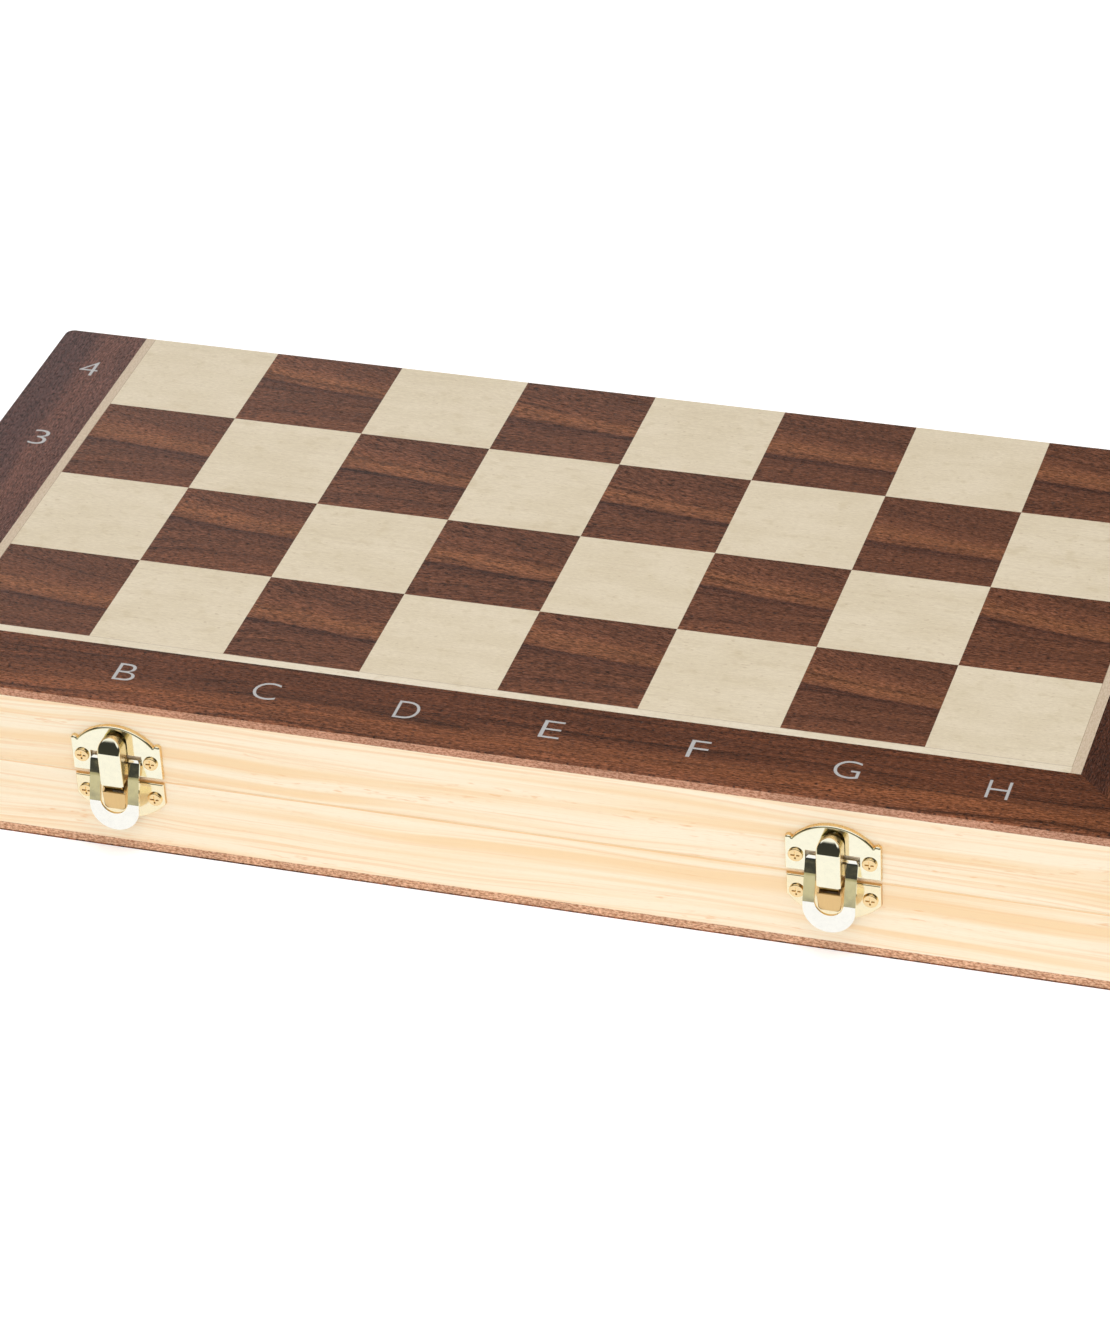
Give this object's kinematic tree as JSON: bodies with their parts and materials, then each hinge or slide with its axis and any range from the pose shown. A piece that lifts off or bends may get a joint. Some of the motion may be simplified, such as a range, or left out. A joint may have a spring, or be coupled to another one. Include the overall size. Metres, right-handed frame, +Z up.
{
  "type": "magnetic chess and checkers board",
  "caption": "Folding wooden chess and checkers board case with a veneered playing surface, felt-lined trays, butt hinges and brass toggle latches.",
  "frame": {"origin": "centre of the underside of the closed case, without the hardware", "axes": "+X along the files from A to H, -Y towards the latches, +Z up through the closed case"},
  "size_m": [0.378, 0.1966, 0.05],
  "materials": {
    "walnut_veneer": "satin",
    "maple_veneer": "satin",
    "fibreboard": "matte",
    "pine": "satin",
    "steel_sheet": "satin",
    "felt": "felt",
    "polished_brass": "polished",
    "brass_screws": "polished",
    "pins": "brass-plated",
    "silver_print": "matte print"
  },
  "bodies": {
    "base": {"base_back_rail": "pine", "base_border_front": "walnut_veneer", "base_border_left": "walnut_veneer", "base_border_right": "walnut_veneer", "base_cross_divider": "pine", "base_dark_squares": "walnut_veneer", "base_front_rail": "pine", "base_left_rail": "pine", "base_light_squares": "maple_veneer", "base_lining": "felt", "base_long_divider": "pine", "base_panel": "fibreboard", "base_right_rail": "pine", "base_steel_sheet": "steel_sheet", "base_stringing": "maple_veneer", "hinge_base_screws": "brass_screws", "left_hinge_base_leaf": "polished_brass", "left_hinge_pin": "pins", "left_keeper": "polished_brass", "left_keeper_screws": "brass_screws", "right_hinge_base_leaf": "polished_brass", "right_hinge_pin": "pins", "right_keeper": "polished_brass", "right_keeper_screws": "brass_screws"},
    "lid": {"hinge_lid_screws": "brass_screws", "left_hinge_lid_leaf": "polished_brass", "left_hook_pin": "pins", "left_latch_plate": "polished_brass", "left_lever_pin": "pins", "left_plate_screws": "brass_screws", "lid_back_rail": "pine", "lid_border_front": "walnut_veneer", "lid_border_left": "walnut_veneer", "lid_border_right": "walnut_veneer", "lid_cross_divider": "pine", "lid_dark_squares": "walnut_veneer", "lid_front_rail": "pine", "lid_left_rail": "pine", "lid_light_squares": "maple_veneer", "lid_lining": "felt", "lid_long_divider": "pine", "lid_panel": "fibreboard", "lid_right_rail": "pine", "lid_steel_sheet": "steel_sheet", "lid_stringing": "maple_veneer", "right_hinge_lid_leaf": "polished_brass", "right_hook_pin": "pins", "right_latch_plate": "polished_brass", "right_lever_pin": "pins", "right_plate_screws": "brass_screws"},
    "left_lever": {"left_lever": "polished_brass"},
    "left_hook": {"left_hook": "polished_brass"},
    "right_lever": {"right_lever": "polished_brass"},
    "right_hook": {"right_hook": "polished_brass"}
  },
  "joints": [
    {"name": "lid_fold", "type": "hinge", "parent": "base", "child": "lid", "pos_m": [0, 0.094, 0.025], "axis": [-1, 0, 0], "range_deg": [0, 180]},
    {"name": "left_lever_lift", "type": "hinge", "parent": "lid", "child": "left_lever", "pos_m": [-0.102, -0.0952, 0.0315], "axis": [-1, 0, 0], "range_deg": [0, 90]},
    {"name": "left_hook_swing", "type": "hinge", "parent": "lid", "child": "left_hook", "pos_m": [-0.102, -0.097, 0.0371], "axis": [-1, 0, 0], "range_deg": [0, 18]},
    {"name": "right_lever_lift", "type": "hinge", "parent": "lid", "child": "right_lever", "pos_m": [0.102, -0.0952, 0.0315], "axis": [-1, 0, 0], "range_deg": [0, 90]},
    {"name": "right_hook_swing", "type": "hinge", "parent": "lid", "child": "right_hook", "pos_m": [0.102, -0.097, 0.0371], "axis": [-1, 0, 0], "range_deg": [0, 18]}
  ],
  "couplings": [
    {"joint": "left_hook_swing", "follows": "left_lever_lift", "ratio": 0.2},
    {"joint": "right_hook_swing", "follows": "right_lever_lift", "ratio": 0.2}
  ]
}
